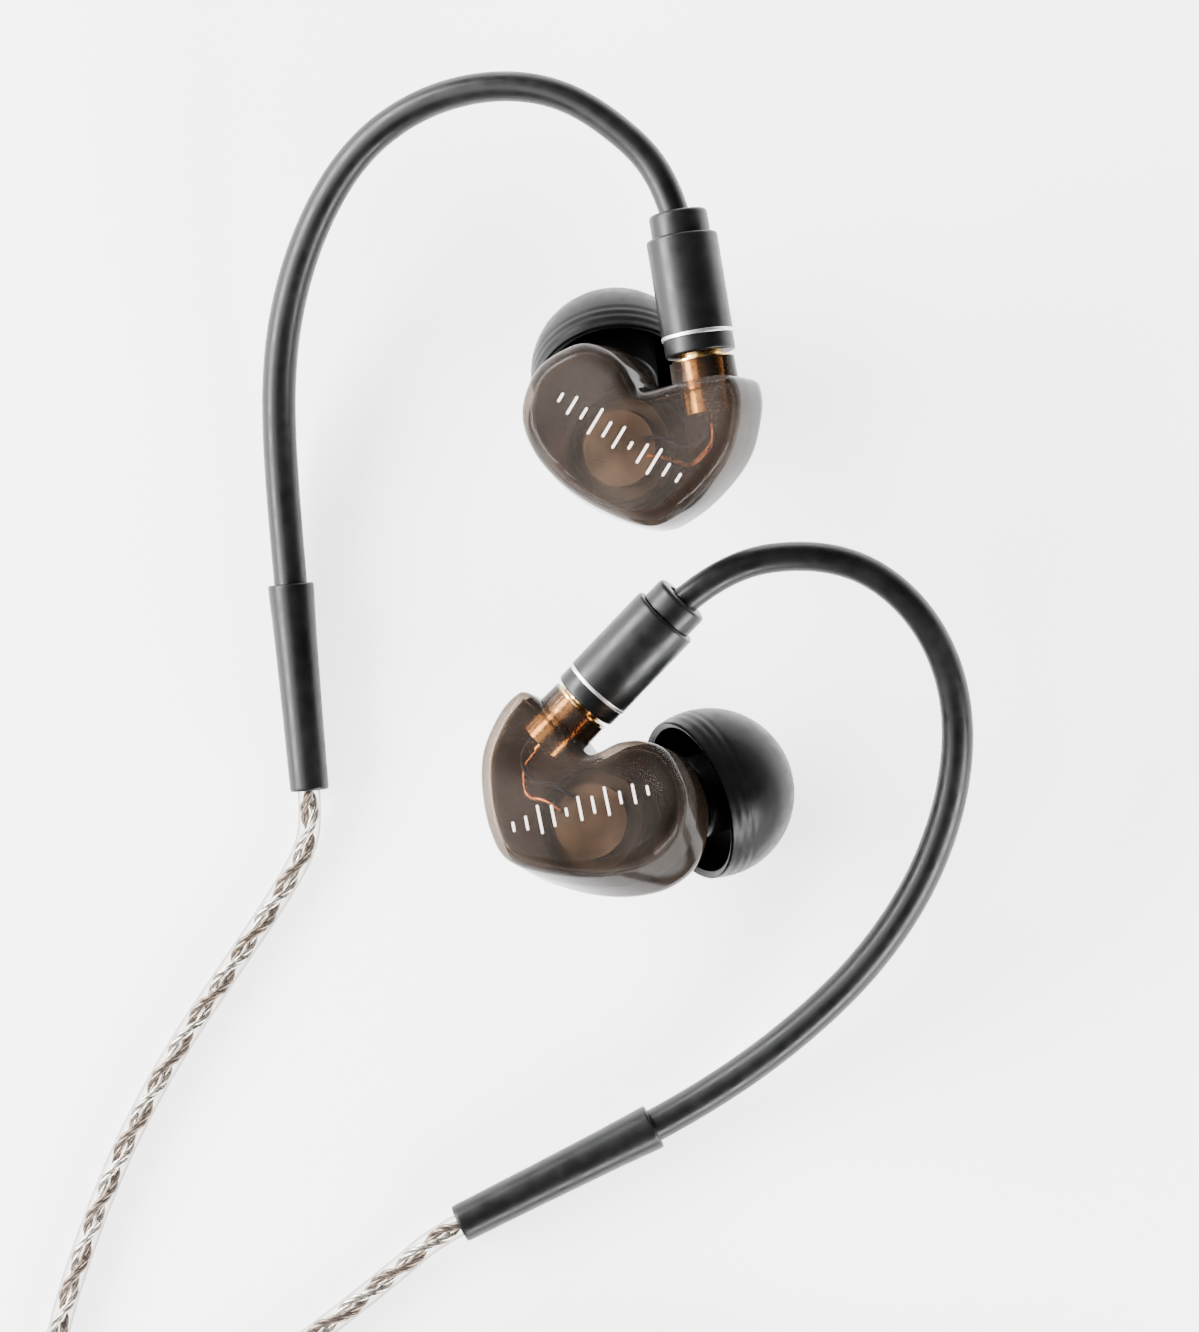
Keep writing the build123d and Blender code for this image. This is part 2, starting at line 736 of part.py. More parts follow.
shaft_r = contact_shaft_d / 2
neck_r = jack_neck_d / 2
tip_start = jack_length + jack_contact_length - jack_tip_length
ring_start = tip_start - jack_insulator_length - jack_ring_length
sleeve_end = ring_start - jack_insulator_length
contacts = [
    ring(jack_plane, shaft_r, neck_r, jack_length, sleeve_end - jack_length),
    ring(jack_plane, shaft_r, neck_r, ring_start, jack_ring_length),
    turned(
        jack_plane,
        [
            (0, tip_start),
            (shaft_r, tip_start),
            (shaft_r * 0.72, tip_start + jack_tip_length * 0.35),
            (shaft_r * 0.9, tip_start + jack_tip_length * 0.5),
            (shaft_r * 0.35, tip_start + jack_tip_length),
            (0, tip_start + jack_tip_length),
        ],
    ),
]
with BuildPart() as jack_contacts:
    add(contacts)
publish("jack_contacts", jack_contacts.part)

insulators = [ring(jack_plane, neck_r, 0, jack_length / 2, tip_start - jack_length / 2)]
for start in (sleeve_end, ring_start + jack_ring_length):
    insulators.append(ring(jack_plane, shaft_r, 0, start, jack_insulator_length))
with BuildPart() as jack_insulator:
    add(insulators)
publish("jack_insulator", jack_insulator.part)
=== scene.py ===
"""In ear monitors: the looks of the pair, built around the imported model.

Each earpiece is drawn in millimetres in its own frame, as for the right ear. The shell's parting plane
is XY, +Z points out of the ear and +Y runs along the socket towards the cable. The left one is mirrored.
"""

import json
from math import acos, asin, cos, pi, radians, sin, tau

import bmesh
import bpy
from mathutils import Matrix, Vector


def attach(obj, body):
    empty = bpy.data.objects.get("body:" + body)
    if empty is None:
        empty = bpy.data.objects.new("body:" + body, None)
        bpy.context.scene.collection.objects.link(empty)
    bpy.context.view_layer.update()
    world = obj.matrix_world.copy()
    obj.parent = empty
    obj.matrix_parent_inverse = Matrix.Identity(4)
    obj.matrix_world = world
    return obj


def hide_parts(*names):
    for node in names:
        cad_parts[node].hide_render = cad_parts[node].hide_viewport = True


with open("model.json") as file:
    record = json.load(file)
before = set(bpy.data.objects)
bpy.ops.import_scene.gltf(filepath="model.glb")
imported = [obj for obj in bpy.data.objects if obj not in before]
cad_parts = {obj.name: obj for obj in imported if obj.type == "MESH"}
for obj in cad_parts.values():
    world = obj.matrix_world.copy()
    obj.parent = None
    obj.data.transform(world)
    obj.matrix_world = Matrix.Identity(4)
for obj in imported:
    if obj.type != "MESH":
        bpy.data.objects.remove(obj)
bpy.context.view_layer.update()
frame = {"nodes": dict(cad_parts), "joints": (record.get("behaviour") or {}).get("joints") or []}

MM = 0.001
SIDES = ("right", "left")
CABLE_BODY = "cable_set"
joints = {joint["name"]: joint for joint in frame["joints"]}
nodes = frame["nodes"]

# Sizes in millimetres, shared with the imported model
WALL = 0.7
COVER_HEIGHT = 3.3
BACK_DEPTH = 4.5
SOCKET_X, SOCKET_Z = 7.45, -0.4
SWIVEL_Y = 3.0
NOZZLE_START = Vector((-1.0, 0.0, -3.0))
HOOK_D = 2.7
BRANCH_D = 1.8
MAIN_D = 2.4
TURN_PITCH = 1.03


# ---------------------------------------------------------------- frames of the two earpieces


def ear_matrix(side):
    """From the earpiece's own millimetres to the row frame, taken from the joints' axes."""
    sign = 1 if side == "right" else -1
    outwards = Vector(joints[f"{side}_cone_travel"]["axis"]).normalized()
    along = -Vector(joints[f"{side}_unplug"]["axis"]).normalized()
    across = along.cross(outwards) * sign
    swivel = Vector(joints[f"{side}_swivel_joint"]["pos_m"])
    origin = swivel - (across * SOCKET_X + along * SWIVEL_Y + outwards * SOCKET_Z) * MM
    turn = Matrix((across, along, outwards)).transposed().to_4x4()
    return Matrix.Translation(origin) @ turn @ Matrix.Scale(MM, 4)


def axis_matrix(origin, direction):
    """A frame whose Z runs along a direction that isn't upright."""
    z = Vector(direction).normalized()
    x = Vector((0, 0, 1)).cross(z).normalized()
    y = z.cross(x)
    return Matrix.Translation(origin) @ Matrix((x, y, z)).transposed().to_4x4()


EAR = {side: ear_matrix(side) for side in SIDES}
SOCKET_AXIS = axis_matrix(Vector((SOCKET_X, 0, SOCKET_Z)), Vector((0, 1, 0)))


def nozzle_matrix(side):
    """The nozzle's axis in the earpiece's own frame."""
    direction = EAR[side].to_3x3().inverted() @ Vector(joints[f"{side}_tip_pull"]["axis"])
    return axis_matrix(NOZZLE_START, direction)


# ---------------------------------------------------------------- materials

# Sizes of the patterns, as noise scales per metre, and the depth of a moulded grain in metres
CLOUDS = 150
COLOUR_PATCHES = 260
GLOSS_PATCHES = 900
GRAIN_DEPTH = 0.00002


class Finish:
    """A node tree under construction, with the few nodes that the finishes share."""

    def __init__(self, name):
        self.material = bpy.data.materials.new(name)
        self.material.use_nodes = True
        self.nodes = self.material.node_tree.nodes
        self.links = self.material.node_tree.links
        self.shader = self.nodes["Principled BSDF"]
        self.output = self.nodes["Material Output"]
        self.place = self.nodes.new("ShaderNodeTexCoord").outputs["Object"]

    def set(self, **values):
        """Sets the shader's own sockets; an underscore stands for a space in a socket's name."""
        for key, value in values.items():
            self.shader.inputs[key.replace("_", " ")].default_value = value

    def noise(self, scale, detail):
        """A soft random pattern that is fixed to the piece."""
        node = self.nodes.new("ShaderNodeTexNoise")
        node.inputs["Scale"].default_value = scale
        node.inputs["Detail"].default_value = detail
        self.links.new(self.place, node.inputs["Vector"])
        return node.outputs["Fac"]

    def ramp(self, value, low, high, start=0.35, end=0.65):
        """A colour or a grey that goes from low to high as the value does."""
        node = self.nodes.new("ShaderNodeValToRGB")
        for element, position, colour in zip(node.color_ramp.elements, (start, end), (low, high)):
            element.position = position
            element.color = (*colour, 1) if isinstance(colour, tuple) else (colour, colour, colour, 1)
        self.links.new(value, node.inputs["Fac"])
        return node.outputs["Color"]

    def feed(self, socket, output):
        self.links.new(output, self.shader.inputs[socket])

    def bump(self, value, strength, distance):
        node = self.nodes.new("ShaderNodeBump")
        node.inputs["Strength"].default_value = strength
        node.inputs["Distance"].default_value = distance
        self.links.new(value, node.inputs["Height"])
        self.feed("Normal", node.outputs["Normal"])


def moulded(name, dark, light, rough_low, rough_high, grain=9000, bump=0.12, shine=0.3):
    """Moulded plastic or rubber: a fine grain, slow changes of colour and of gloss."""
    finish = Finish(name)
    finish.set(Specular_IOR_Level=shine)
    finish.feed("Base Color", finish.ramp(finish.noise(COLOUR_PATCHES, 4), dark, light))
    finish.feed("Roughness", finish.ramp(finish.noise(GLOSS_PATCHES, 4), rough_low, rough_high))
    finish.bump(finish.noise(grain, 2), bump, GRAIN_DEPTH)
    return finish.material


def metal(name, dark, light, rough_low, rough_high, grain=1500):
    """Plated or turned metal with a faint, uneven polish."""
    finish = Finish(name)
    finish.set(Metallic=1.0)
    finish.feed("Base Color", finish.ramp(finish.noise(grain, 4), dark, light))
    finish.feed("Roughness", finish.ramp(finish.noise(2.5 * grain, 3), rough_low, rough_high))
    return finish.material


def see_through(name, tint, body, veil, roughness):
    """A clear moulding: tinted light comes through it, less at its edges, under a glossy skin.

    The tint and the veil are pairs, for where the surface faces the eye and for its edge.
    """
    finish = Finish(name)
    finish.set(Roughness=roughness, IOR=1.3)
    finish.feed("Base Color", finish.ramp(finish.noise(CLOUDS, 4), *body, 0.3, 0.7))
    facing = finish.nodes.new("ShaderNodeLayerWeight")
    facing.inputs["Blend"].default_value = 0.35
    clear = finish.nodes.new("ShaderNodeBsdfTransparent")
    finish.links.new(finish.ramp(facing.outputs["Facing"], *tint, 0.2, 0.95), clear.inputs["Color"])
    mix = finish.nodes.new("ShaderNodeMixShader")
    finish.links.new(finish.ramp(facing.outputs["Facing"], *veil, 0.15, 0.9), mix.inputs["Fac"])
    finish.links.new(clear.outputs["BSDF"], mix.inputs[1])
    finish.links.new(finish.shader.outputs["BSDF"], mix.inputs[2])
    finish.links.new(mix.outputs["Shader"], finish.output.inputs["Surface"])
    return finish.material


smoked_shell = see_through(
    "smoked_shell",
    tint=((0.76, 0.67, 0.59), (0.20, 0.15, 0.115)),
    body=((0.014, 0.011, 0.009), (0.125, 0.106, 0.094)),
    veil=(0.20, 0.8),
    roughness=0.09,
)
smoked_back = see_through(
    "smoked_back",
    tint=((0.15, 0.095, 0.062), (0.04, 0.024, 0.015)),
    body=((0.010, 0.007, 0.005), (0.024, 0.017, 0.012)),
    veil=(0.40, 0.95),
    roughness=0.12,
)
clear_jacket = see_through(
    "clear_jacket",
    tint=((0.96, 0.95, 0.94), (0.26, 0.23, 0.215)),
    body=((0.42, 0.37, 0.35), (0.58, 0.52, 0.49)),
    veil=(0.06, 0.5),
    roughness=0.1,
)
black_plastic = moulded("black_plastic", (0.003, 0.003, 0.0033), (0.007, 0.007, 0.0074), 0.30, 0.42)
gloss_black = moulded("gloss_black", (0.003, 0.003, 0.0034), (0.007, 0.007, 0.0075), 0.16, 0.26, bump=0.05)
silicone = moulded(
    "silicone", (0.0024, 0.0024, 0.0024), (0.006, 0.006, 0.006), 0.30, 0.42, grain=5000, bump=0.08, shine=0.14
)
hook_tube = moulded(
    "hook_tube", (0.003, 0.003, 0.0033), (0.008, 0.008, 0.0084), 0.30, 0.42, grain=7000, bump=0.08
)
driver_plastic = moulded("driver_plastic", (0.08, 0.071, 0.063), (0.18, 0.162, 0.147), 0.4, 0.55)
white_plastic = moulded("white_plastic", (0.62, 0.60, 0.56), (0.75, 0.73, 0.69), 0.35, 0.5)
film = moulded("film", (0.42, 0.32, 0.20), (0.55, 0.43, 0.28), 0.25, 0.35)
print_ink = moulded("print_ink", (0.93, 0.77, 0.69), (1.0, 0.87, 0.80), 0.38, 0.5)
blue_enamel = moulded("blue_enamel", (0.010, 0.018, 0.06), (0.02, 0.03, 0.10), 0.25, 0.35)
gold = metal("gold", (0.75, 0.42, 0.12), (0.98, 0.66, 0.26), 0.16, 0.30)
bright_metal = metal("bright_metal", (0.84, 0.84, 0.84), (0.97, 0.97, 0.96), 0.22, 0.32)
satin_metal = metal("satin_metal", (0.78, 0.78, 0.78), (0.93, 0.93, 0.93), 0.36, 0.44)
magnet_metal = metal("magnet_metal", (0.09, 0.080, 0.072), (0.22, 0.20, 0.184), 0.42, 0.55, grain=320)
copper = metal("copper", (0.62, 0.25, 0.10), (0.90, 0.45, 0.22), 0.2, 0.35)
silver_wire = metal("silver_wire", (0.40, 0.37, 0.33), (0.80, 0.76, 0.70), 0.2, 0.36)
bronze_wire = metal("bronze_wire", (0.07, 0.052, 0.038), (0.26, 0.20, 0.15), 0.25, 0.42)


# ---------------------------------------------------------------- shared makers

# A rounded corner takes at most this share of the sides that meet in it
CORNER_SHARE = 0.45
ROUND_STEPS = 64


def add_piece(name, data, material, body, replaced=()):
    """Links a finished mesh or curve, gives it its finish, puts it under its body and hides the imported
    pieces it replaces.
    """
    piece = bpy.data.objects.new(name, data)
    bpy.context.scene.collection.objects.link(piece)
    data.materials.append(material)
    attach(piece, body)
    if replaced:
        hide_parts(*replaced)
    return piece


def mesh_of(bm, name, matrix, sharp=35):
    """Turns a bmesh into a smooth mesh, in its final place, with its faces outwards."""
    bmesh.ops.transform(bm, matrix=matrix, verts=bm.verts)
    bmesh.ops.remove_doubles(bm, verts=bm.verts, dist=1e-7)
    bmesh.ops.recalc_face_normals(bm, faces=bm.faces)
    mesh = bpy.data.meshes.new(name)
    bm.to_mesh(mesh)
    bm.free()
    mesh.shade_smooth()
    mesh.set_sharp_from_angle(angle=radians(sharp))
    return mesh


def round_corners(profile, radii, steps=4):
    """An outline of (radius, height) points with each corner rounded by its own radius."""
    made = []
    points = [Vector(p) for p in profile]
    for i, (corner, radius) in enumerate(zip(points, radii)):
        into = points[i - 1] - corner
        out = points[(i + 1) % len(points)] - corner
        reach = min(radius, into.length * CORNER_SHARE, out.length * CORNER_SHARE)
        a, b = corner + into.normalized() * reach, corner + out.normalized() * reach
        for k in range(steps + 1):
            t = k / steps
            made.append(a * (1 - t) ** 2 + corner * 2 * t * (1 - t) + b * t**2)
    return made


def spun(profile, steps=72):
    """A bmesh turned about Z from a closed outline of (radius, height) points, clear of the axis."""
    bm = bmesh.new()
    ring = [bm.verts.new((point[0], 0, point[1])) for point in profile]
    edges = [bm.edges.new((a, b)) for a, b in zip(ring, ring[1:] + ring[:1])]
    bmesh.ops.spin(
        bm, geom=ring + edges, cent=(0, 0, 0), axis=(0, 0, 1), angle=tau, steps=steps, use_merge=True
    )
    bmesh.ops.remove_doubles(bm, verts=bm.verts, dist=1e-5)
    return bm


def route_spline(name, points, diameter, order=3, resolution=12, radii=None):
    """A round cord along a smooth line that these control points steer, in the row frame."""
    data = bpy.data.curves.new(name, "CURVE")
    data.dimensions = "3D"
    spline = data.splines.new("NURBS")
    spline.points.add(len(points) - 1)
    for i, (control, point) in enumerate(zip(spline.points, points)):
        control.co = (*point, 1)
        control.radius = radii[i] if radii else 1
    spline.order_u = order
    spline.use_endpoint_u = True
    spline.resolution_u = resolution
    data.bevel_depth = diameter / 2
    data.bevel_resolution = 6
    data.use_fill_caps = True
    return data


def line_of(data):
    """The points along a cord's own smooth line."""
    bare = data.copy()
    bare.bevel_depth = 0
    probe = bpy.data.objects.new("probe", bare)
    bpy.context.scene.collection.objects.link(probe)
    mesh = bpy.data.meshes.new_from_object(probe)
    points = [vertex.co.copy() for vertex in mesh.vertices]
    bpy.data.objects.remove(probe)
    bpy.data.curves.remove(bare)
    bpy.data.meshes.remove(mesh)
    return points


def evenly(points, spacing):
    """The same line with its points a set distance apart."""
    made, left = [points[0]], spacing
    for a, b in zip(points, points[1:]):
        run = (b - a).length
        while run >= left > 0:
            a = a.lerp(b, left / run)
            made.append(a)
            run = (b - a).length
            left = spacing
        left -= run
    return made


# ---------------------------------------------------------------- camera

# The camera's place and the height of what it sees at the floor, in the model's millimetres
CAMERA_HEIGHT = 600
CAMERA_PLAN = (-1.52, -0.96)
FRAME_TALL = 106.56
SENSOR = 36


def make_camera():
    """Straight above the pair, far enough away for a nearly parallel view."""
    data = bpy.data.cameras.new("camera")
    data.sensor_width = SENSOR
    data.lens = SENSOR * CAMERA_HEIGHT / FRAME_TALL
    data.clip_start, data.clip_end = 0.01, 10
    camera = bpy.data.objects.new("camera", data)
    camera.location = Vector((*CAMERA_PLAN, CAMERA_HEIGHT)) * MM
    bpy.context.scene.collection.objects.link(camera)
    bpy.context.scene.camera = camera


make_camera()


# ---------------------------------------------------------------- cords

# The ends of the sleeves: plan and height of the middle, all in the row frame's millimetres
SLEEVE_ENDS = {
    "right": [(-26.15, 5.6, 1.85), (-24.65, -10.9, 1.55)],
    "left": [(2.85, -37.65, 1.85), (-12.7, -45.5, 1.55)],
}
SLEEVE_OVERLAP = 3.0
CORD_INSIDE_SLEEVE = 3.0
BRANCH_LEAD = 2.0
BRANCH_ROUTES = {
    "right": [
        (-25.1, -16.0), (-27.9, -20.6), (-31.6, -26.0), (-35.6, -32.0), (-39.2, -38.6),
        (-42.2, -45.8), (-44.8, -53.8), (-46.5, -62.4), (-46.9, -71.2), (-45.86, -80.0),
    ],
    "left": [
        (-17.4, -49.0), (-22.4, -53.0), (-28.6, -57.6), (-35.6, -61.6), (-41.0, -66.9),
        (-43.6, -73.4), (-44.0, -80.0),
    ],
}
BRANCH_COIL_CENTRE = (-34, -80)
BRANCH_TURNS = 2.25
BRANCH_OUTER_R = {"right": 11.86, "left": 10.0}
BRANCH_Z = (0.92, 2.78)
LEAD_Z = 2.6
LEAD_Y = {"right": -91.86, "left": -90.0}
SPLITTER_INSIDE_X = 2.0
MAIN_ROUTE = [
    (9.0, -90.93, 2.6), (16.0, -90.93, 2.6), (21.5, -92.4, 1.6), (26.6, -96.6, 1.2), (32.6, -100.2, 1.2),
    (40.0, -101.0, 1.2),
]
MAIN_TAIL = [
    (44.9, -63.65, 3.6), (39.6, -62.4, 3.6), (33.6, -61.75, 3.6), (27.6, -61.9, 3.5), (20.0, -61.9, 3.5),
]
MAIN_COIL_CENTRE = (40, -82)
MAIN_TURNS = 8.46
MAIN_OUTER_R = 19.0
MAIN_Z = (1.24, 3.71)
POINTS_PER_TURN = 24
# The share of a turn in which a coil steps up to its second layer
STEP_UP = 0.35

# A cord's inside: how far each bundle runs off the middle, as a share of the cord, and its wires
BUNDLE_SHARE = 0.225
BUNDLE_PITCH = 6.2 * MM
BUNDLE_WIRES = 3
WIRE_PITCH = 3.4 * MM
WIRE_SHARE = 0.88
WIRE_SPREAD = 0.62
LINE_SPACING = 0.34 * MM


def coil_points(centre, start_angle, turns, outer_r, pitch, heights):
    """Turns that wind inwards on the floor, step up, and wind outwards on top of the first layer."""
    low, high = heights
    stretch = 1 / cos(pi / POINTS_PER_TURN)
    points = []
    for i in range(1, round(turns * POINTS_PER_TURN)):
        done = i / POINTS_PER_TURN
        radius = (outer_r - pitch * min(done, turns - done)) * stretch
        rise = min(max((done - turns / 2) / STEP_UP + 0.5, 0), 1)
        height = low + (high - low) * rise * rise * (3 - 2 * rise)
        angle = radians(start_angle) + tau * done
        points.append((centre[0] + radius * cos(angle), centre[1] + radius * sin(angle), height))
    return points


def twisted_wires(name, line, reach, material, phase):
    """A bundle of fine wires that twists round the cord's line, while the wires twist round each other."""
    wire_d = reach * WIRE_SHARE
    data = bpy.data.curves.new(name, "CURVE")
    data.dimensions = "3D"
    data.bevel_depth = wire_d / 2
    data.bevel_resolution = 1
    data.use_fill_caps = True
    normal = Vector((0, 0, 1))
    wires = [[] for _ in range(BUNDLE_WIRES)]
    travelled = 0.0
    for i, point in enumerate(line):
        tangent = (line[min(i + 1, len(line) - 1)] - line[max(i - 1, 0)]).normalized()
        normal = (normal - tangent * normal.dot(tangent)).normalized()
        side = tangent.cross(normal)
        travelled += (point - line[i - 1]).length if i else 0
        turn = tau * (travelled / BUNDLE_PITCH) + phase
        centre = point + (normal * cos(turn) + side * sin(turn)) * reach
        for w, wire in enumerate(wires):
            spin = tau * (travelled / WIRE_PITCH + w / BUNDLE_WIRES)
            offset = (normal * cos(spin) + side * sin(spin)) * wire_d * WIRE_SPREAD
            wire.append(centre + offset)
    for wire in wires:
        spline = data.splines.new("POLY")
        spline.points.add(len(wire) - 1)
        for control, place in zip(spline.points, wire):
            control.co = (*place, 1)
    return add_piece(name, data, material, CABLE_BODY)


def make_cord(name, points, diameter, replaced):
    """A clear jacket over two twisted bundles, silver and bronze."""
    metres = [Vector(point) * MM for point in points]
    data = route_spline(name, metres, diameter * MM)
    jacket = add_piece(name, data, clear_jacket, CABLE_BODY, replaced)
    line = line_of(data)
    fine = evenly(line, LINE_SPACING)
    reach = diameter * BUNDLE_SHARE * MM
    silver = twisted_wires(f"{name}_silver_wires", fine, reach, silver_wire, 0)
    bronze = twisted_wires(f"{name}_bronze_wires", fine, reach, bronze_wire, pi)


def make_branches():
    """The two thin cords, from the sleeves through the slider and their shared coil to the splitter."""
    pitch = 2 * BRANCH_D * TURN_PITCH
    for side in SIDES:
        upper, lower = (Vector(point) for point in SLEEVE_ENDS[side])
        along = (lower - upper).normalized()
        points = [lower - along * CORD_INSIDE_SLEEVE, lower + along * BRANCH_LEAD]
        points += [(x, y, BRANCH_D / 2) for x, y in BRANCH_ROUTES[side]]
        points += coil_points(BRANCH_COIL_CENTRE, 180, BRANCH_TURNS, BRANCH_OUTER_R[side], pitch, BRANCH_Z)
        points += [(BRANCH_COIL_CENTRE[0], LEAD_Y[side], LEAD_Z), (SPLITTER_INSIDE_X, LEAD_Y[side], LEAD_Z)]
        replaced = [f"{side}_branch", "branch_coil"]
        make_cord(f"{side}_branch_cable", points, BRANCH_D, replaced)


def make_main_cord():
    """The thick cord, from the splitter through its coil to the jack."""
    pitch = MAIN_D * TURN_PITCH
    points = list(MAIN_ROUTE)
    points += coil_points(MAIN_COIL_CENTRE, 270, MAIN_TURNS, MAIN_OUTER_R, pitch, MAIN_Z)
    points += MAIN_TAIL
    make_cord("main_cable", points, MAIN_D, ["main_cord", "main_coil"])


make_branches()
make_main_cord()


# ---------------------------------------------------------------- shell of each earpiece

SHELL_OUTLINE = [
    (-1.6, 7.3), (0.6, 6.55), (1.95, 5.1), (2.5, 3.7), (3.0, 2.75), (4.1, 2.55), (7.4, 2.75), (10.2, 2.55),
    (10.95, 1.6), (10.85, -0.4), (9.65, -3.3), (7.4, -5.55), (4.45, -7.3), (1.6, -7.85), (-1.9, -6.15),
    (-5.0, -3.6), (-7.1, -0.4), (-7.35, 2.9), (-5.2, 6.0),
]
OUTLINE_STEPS = 7
# How far a point of the outline may move in: a share of the bend's radius, a limit, and a slope
BEND_SHARE = 0.8
MOST_ROOM = 9.0
ROOM_SLOPE = 0.45
ROOM_PASSES = 3
FACE_EDGE = 1.25
BACK_EDGE = 2.5
LEAST_STEP = 0.02
# The shell's far side leans outwards towards the face
FLARE = 0.27
FLARE_HEADING = Vector((0.9, 0.45))
FLARE_REACH = 7.0
EDGE_STEPS = 9
# The face swells by this much at its middle, and is cut every millimetre to follow it
DOME = 0.45
DOME_CENTRE = Vector((1.6, -0.6))
DOME_REACH = 10.5
DOME_CUTS = ((Vector((1, 0, 0)), range(-8, 12)), (Vector((0, 1, 0)), range(-8, 8)))
CUT_SHIFT = 0.37
# The collar round the socket, the stub that carries the nozzle, and the bores through both
COLLAR_START = 0.6
COLLAR_END = 4.35
COLLAR_LOW_R, COLLAR_HIGH_R = 2.65, 2.55
COLLAR_BORE_R = 2.06
STUB_END = 5.6
STUB_LOW_R, STUB_HIGH_R = 4.2, 3.1
STUB_BORE_R = 1.9
NOZZLE_SEAT_R = 2.41
NOZZLE_SEAT = 3.6
SHELL_SHARP = 28


def shell_outline():
    """The shell's outline as a closed smooth curve.

    It returns the curve's points, their inward normals and how far each can move in.
    """
    corners = [Vector(point) for point in SHELL_OUTLINE]
    dense = []
    for i, start in enumerate(corners):
        before, end, after = (corners[(i + step) % len(corners)] for step in (-1, 1, 2))
        slope = end - before
        bend = 2 * before - 5 * start + 4 * end - after
        twist = 3 * start - before - 3 * end + after
        for step in range(OUTLINE_STEPS):
            t = step / OUTLINE_STEPS
            dense.append(0.5 * (2 * start + slope * t + bend * t**2 + twist * t**3))
    count = len(dense)
    headings = [(dense[(i + 1) % count] - dense[i - 1]).normalized() for i in range(count)]
    inward = [Vector((heading.y, -heading.x)) for heading in headings]
    room = []
    for i in range(count):
        turn = headings[i - 1].angle_signed(headings[(i + 1) % count])
        run = (dense[(i + 1) % count] - dense[i - 1]).length
        room.append(min(BEND_SHARE * run / max(turn, 1e-3), MOST_ROOM))
    for _ in range(ROOM_PASSES):
        for i in list(range(count)) + list(range(count - 1, -1, -1)):
            for near in (i - 1, (i + 1) % count):
                room[i] = min(room[i], room[near] + ROOM_SLOPE * (dense[i] - dense[near]).length)
    return dense, inward, room


def shell_levels(inset):
    """The levels of a block, from back to face: height, width of its rounded rim and share of it."""
    levels = []
    for base, edge, up in ((inset - BACK_DEPTH, BACK_EDGE, 1), (COVER_HEIGHT - inset, FACE_EDGE, -1)):
        made = []
        for k in range(EDGE_STEPS + 1):
            turn = pi / 2 * k / EDGE_STEPS
            made.append((base + up * (edge - inset) * (1 - cos(turn)), edge, 1 - sin(turn)))
        levels += made if up == 1 else made[::-1]
    return levels


def swell_face(bm):
    """Cuts the flat face into a grid and lifts it into a slight dome."""
    for normal, places in DOME_CUTS:
        for k in places:
            upper = [face for face in bm.faces if face.calc_center_median().z > COVER_HEIGHT - 1e-3]
            edges = set(edge for face in upper for edge in face.edges)
            verts = set(vert for face in upper for vert in face.verts)
            geom = upper + list(edges) + list(verts)
            cut = normal * (k + CUT_SHIFT)
            bmesh.ops.bisect_plane(bm, geom=geom, plane_co=cut, plane_no=normal, dist=1e-5)
    for vert in bm.verts:
        if vert.co.z > 0:
            away = (Vector(vert.co.xy) - DOME_CENTRE).length / DOME_REACH
            vert.co.z += DOME * (1 - away**2) * (vert.co.z / COVER_HEIGHT) ** 3


def shell_block(inset, dome):
    """A closed block of the shell's form, with rounded rims and, on the outside, a slightly domed face."""
    bm = bmesh.new()
    outline, inward, room = shell_outline()
    order = {bm.verts.new((*point, 0)): i for i, point in enumerate(outline)}
    cap = bm.faces.new(list(order))
    for level, (height, edge, share) in enumerate(shell_levels(inset)):
        if level:
            grown = bmesh.ops.extrude_face_region(bm, geom=[cap])["geom"]
            if level > 1:
                bmesh.ops.delete(bm, geom=[cap], context="FACES_ONLY")
            cap = next(item for item in grown if isinstance(item, bmesh.types.BMFace))
            order = {
                vert: order[near]
                for vert in cap.verts
                for near in (e.other_vert(vert) for e in vert.link_edges)
                if near in order
            }
        for vert, i in order.items():
            start = min(inset, room[i])
            step_in = start + share * max(min(edge, room[i]) - start, LEAST_STEP)
            vert.co = (*(outline[i] + inward[i] * step_in), height)
    bmesh.ops.recalc_face_normals(bm, faces=bm.faces)
    if dome:
        swell_face(bm)
    for vert in bm.verts:
        share = min(max(-FLARE_HEADING.dot(vert.co.xy) / FLARE_REACH, 0), 1)
        vert.co.xy += FLARE_HEADING * (FLARE * vert.co.z * share)
    return bm


def solid(bm, name):
    """A helper object for cutting and joining."""
    bmesh.ops.recalc_face_normals(bm, faces=bm.faces)
    mesh = bpy.data.meshes.new(name)
    bm.to_mesh(mesh)
    bm.free()
    made = bpy.data.objects.new(name, mesh)
    bpy.context.scene.collection.objects.link(made)
    return made


def cylinder(matrix, radius_low, radius_high, low, high):
    """A helper that is round about an axis, between two heights on it."""
    bm = bmesh.new()
    bmesh.ops.create_cone(
        bm, cap_ends=True, segments=ROUND_STEPS, radius1=radius_low, radius2=radius_high, depth=high - low,
        matrix=matrix @ Matrix.Translation((0, 0, (low + high) / 2)),
    )
    return solid(bm, "cylinder")


def carve(start, steps):
    """Joins to, cuts from or keeps a part of a solid, one helper at a time, and returns the mesh."""
    for operation, helper in steps:
        modifier = start.modifiers.new(operation, "BOOLEAN")
        modifier.operation = operation
        modifier.solver = "EXACT"
        modifier.object = helper
    bpy.context.view_layer.update()
    graph = bpy.context.evaluated_depsgraph_get()
    mesh = bpy.data.meshes.new_from_object(start.evaluated_get(graph))
    for helper in [start] + [helper for _, helper in steps]:
        bpy.data.objects.remove(helper)
    return mesh


def half_space(upper):
    """A helper that holds everything on one side of the parting plane."""
    bm = bmesh.new()
    size = 40
    middle = size / 2 if upper else -size / 2
    bmesh.ops.create_cube(bm, size=size, matrix=Matrix.Translation((0, 0, middle)))
    return solid(bm, "half")


